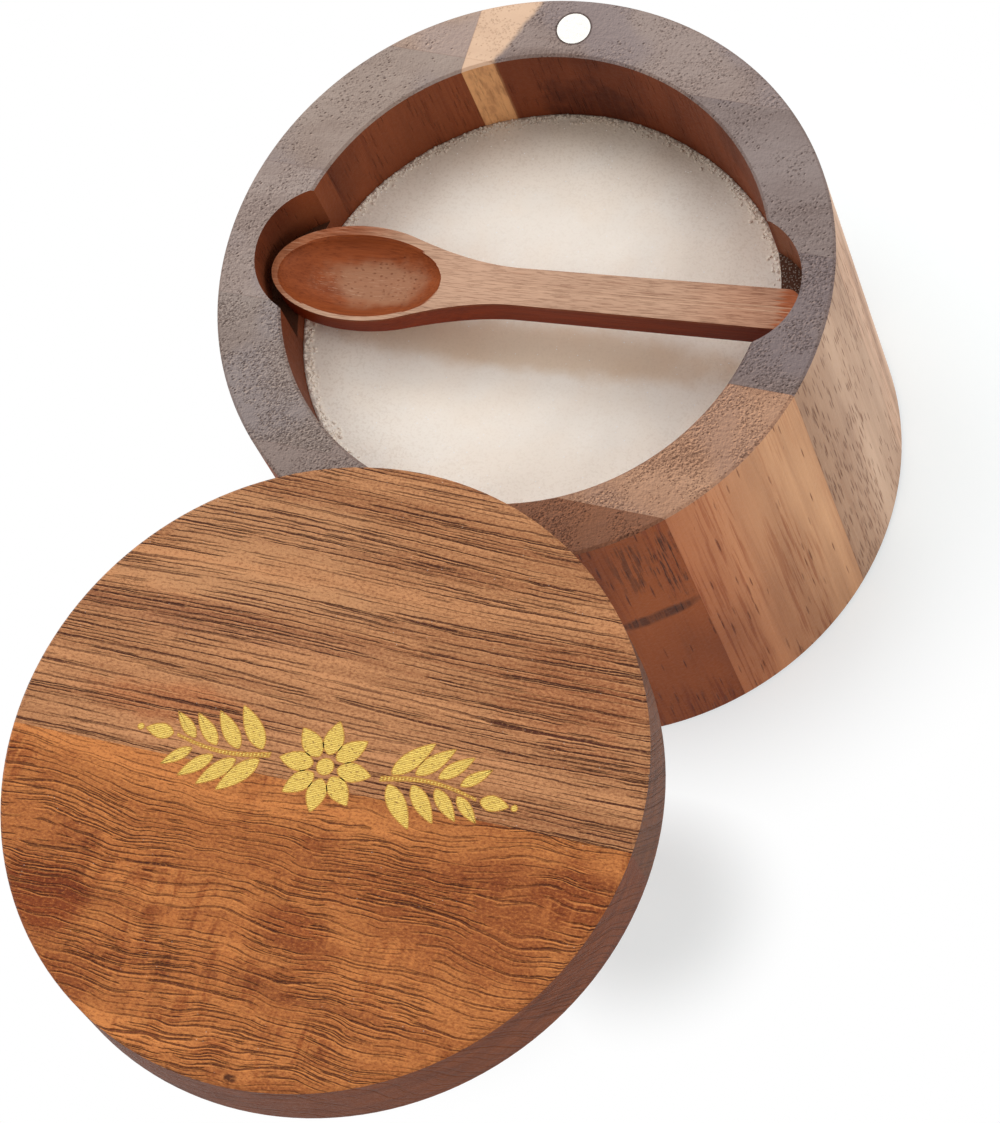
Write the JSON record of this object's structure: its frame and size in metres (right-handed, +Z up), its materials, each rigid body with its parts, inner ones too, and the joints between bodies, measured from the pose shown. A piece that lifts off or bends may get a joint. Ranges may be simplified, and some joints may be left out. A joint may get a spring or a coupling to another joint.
{
  "type": "round wooden salt box with swinging lid",
  "caption": "Round wooden salt box glued up from upright blocks, with a lid that swings on a pin, a magnet catch and a small spoon laid across two pockets in the wall.",
  "frame": {"origin": "middle of the drum's underside, on the drum's axis", "axes": "+Z up, +Y from the lid pin toward the magnet, +X toward the end of the spoon's handle"},
  "size_m": [0.1041, 0.1792, 0.0789],
  "materials": {
    "block_left_back": "oiled, fine sanded",
    "block_left_upper": "oiled, fine sanded",
    "block_left_middle": "oiled, fine sanded",
    "block_left_lower": "oiled, fine sanded",
    "block_back": "oiled, fine sanded",
    "block_right_upper": "oiled, fine sanded",
    "block_right_middle": "oiled, fine sanded",
    "block_right_lower": "oiled, fine sanded",
    "block_front": "oiled, fine sanded",
    "magnet": "nickel plated",
    "sleeve": "turned",
    "salt": "coarse loose grains",
    "lid_straight": "oiled, fine sanded",
    "lid_figured": "oiled, fine sanded",
    "pin": "ground",
    "ring": "spring wire",
    "spoon": "oiled, fine sanded"
  },
  "bodies": {
    "box": {"block_left_back": "block_left_back", "block_left_upper": "block_left_upper", "block_left_middle": "block_left_middle", "block_left_lower": "block_left_lower", "block_back": "block_back", "block_right_upper": "block_right_upper", "block_right_middle": "block_right_middle", "block_right_lower": "block_right_lower", "block_front": "block_front", "rim_magnet": "magnet", "pin_sleeve": "sleeve", "salt_fill": "salt"},
    "lid": {"lid_board_pin_side": "lid_straight", "lid_board_magnet_side": "lid_figured", "lid_magnet": "magnet", "lid_pin": "pin", "pin_snap_ring": "ring"},
    "spoon": {"spoon": "spoon"}
  },
  "joints": [
    {"name": "lid_swing", "type": "hinge", "parent": "box", "child": "lid", "pos_m": [0, -0.0432, 0.0668], "axis": [0, 0, 1], "range_deg": [-166.5, 193.5]},
    {"name": "spoon_lift", "type": "slide", "parent": "box", "child": "spoon", "axis": [0, 0, 1], "range_m": [0, 0.04]}
  ]
}
